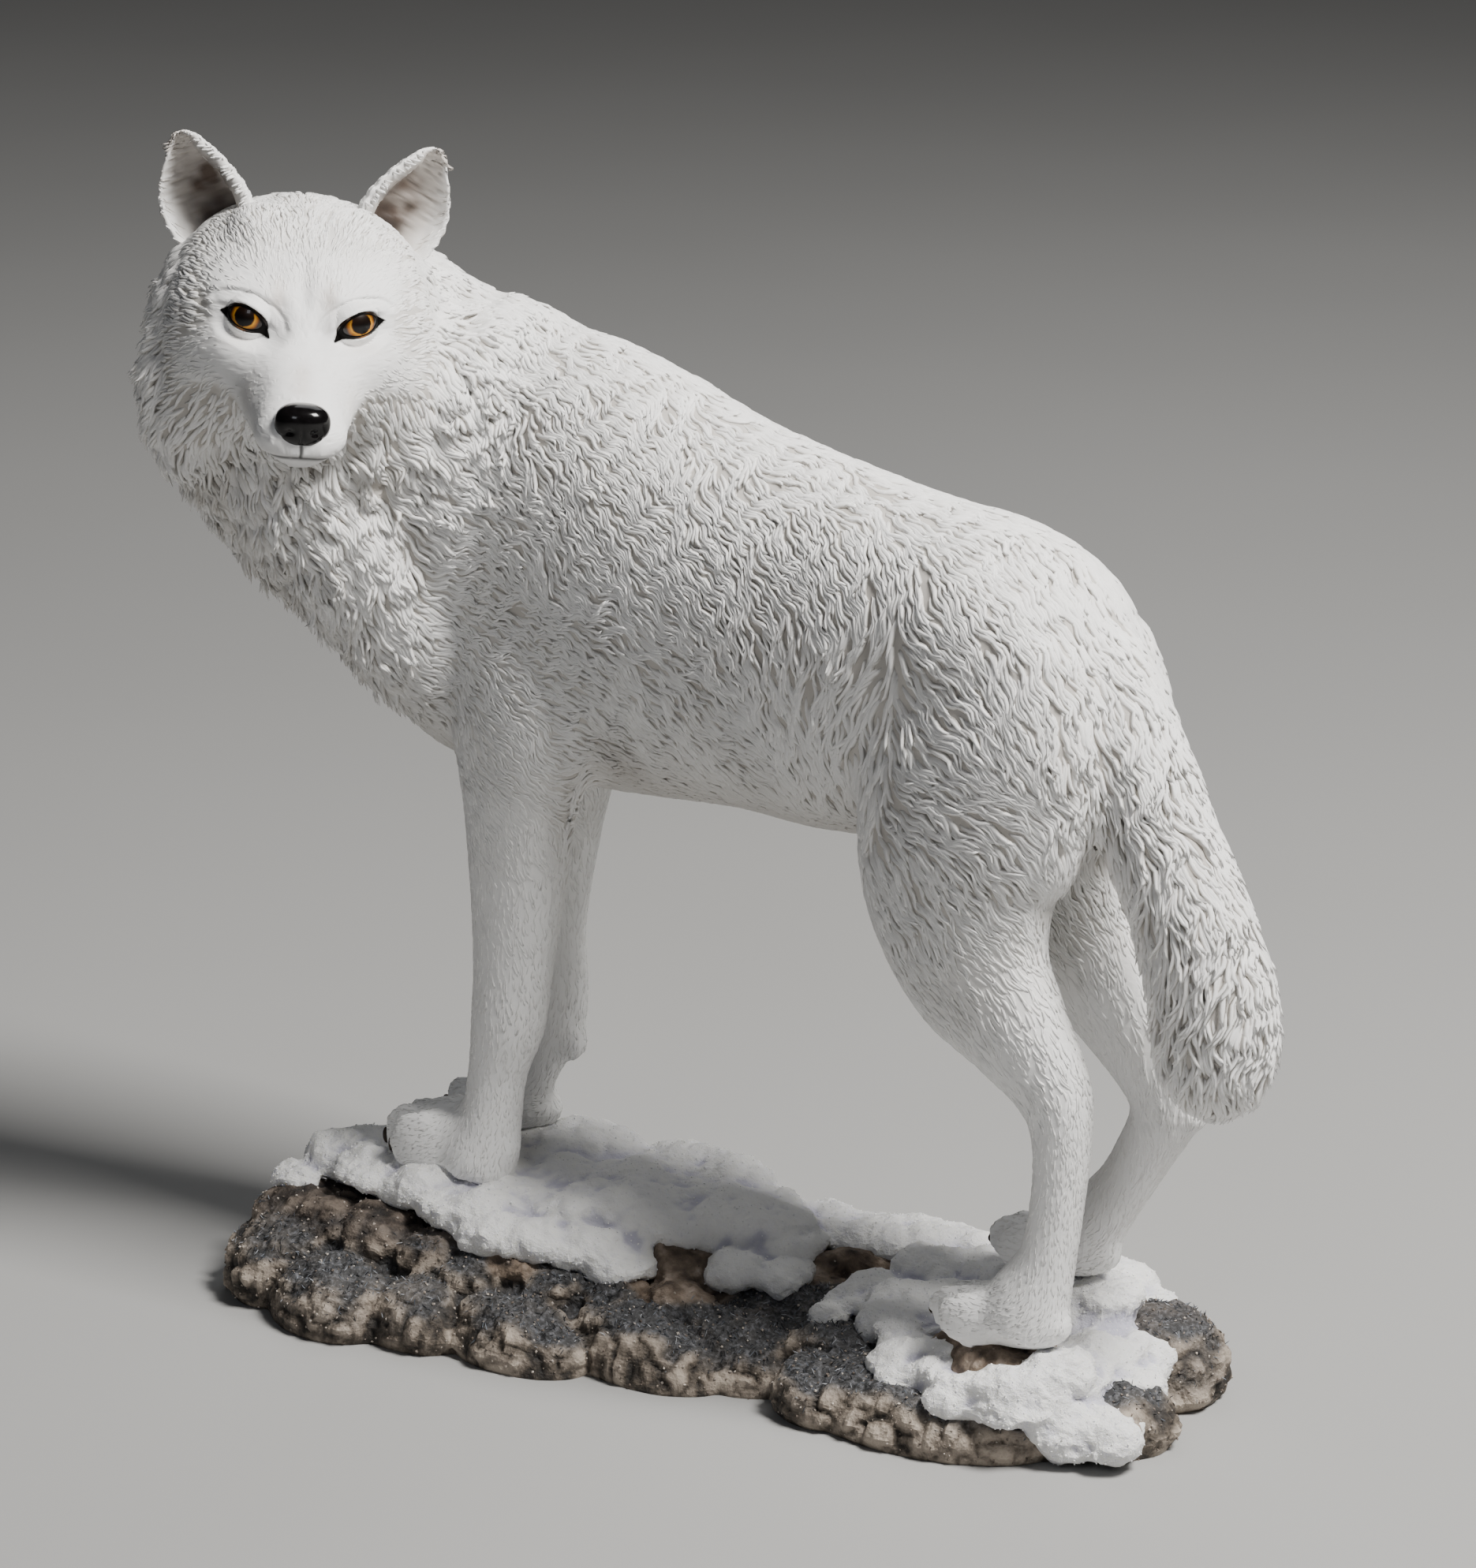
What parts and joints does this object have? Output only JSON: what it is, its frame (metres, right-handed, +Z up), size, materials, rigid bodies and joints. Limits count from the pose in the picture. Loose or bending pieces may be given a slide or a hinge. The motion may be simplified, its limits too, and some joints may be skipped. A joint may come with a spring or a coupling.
{
  "type": "wolf figurine",
  "caption": "Painted resin figurine of a standing arctic wolf, head turned over its shoulder, on a rock base with a sheet of snow.",
  "frame": {"origin": "under the middle of the whole figurine, on the plane that its base stands on", "axes": "+Z is up. The wolf's body faces -X, its left side is towards -Y and its tail is at +X. Its head is turned towards -Y."},
  "size_m": [0.271, 0.1304, 0.2637],
  "materials": {
    "face_paint": "matt white paint on cast resin, shaded with thin washes",
    "coat_paint": "matt off-white paint on cast resin, warm grey wash in the grooves",
    "ear_paint": "matt off-white paint, brown-grey inside",
    "eye_gloss": "gloss-varnished amber and black paint",
    "nose_gloss": "gloss black paint",
    "rock_paint": "dark brown-grey paint on rough cast resin, dry-brushed pale on the high places",
    "snow_grit": "white mineral grit in a white binder"
  },
  "bodies": {
    "root": {"head": "face_paint", "ear_left": "ear_paint", "ear_right": "ear_paint", "eye_left": "eye_gloss", "eye_right": "eye_gloss", "nose": "nose_gloss", "neck": "coat_paint", "trunk": "coat_paint", "tail": "coat_paint", "foreleg_left": "coat_paint", "foreleg_right": "coat_paint", "hindleg_left": "coat_paint", "hindleg_right": "coat_paint", "forepaw_left": "coat_paint", "forepaw_right": "coat_paint", "hindpaw_left": "coat_paint", "hindpaw_right": "coat_paint", "rock_base": "rock_paint", "snow_cover": "snow_grit"}
  },
  "joints": []
}
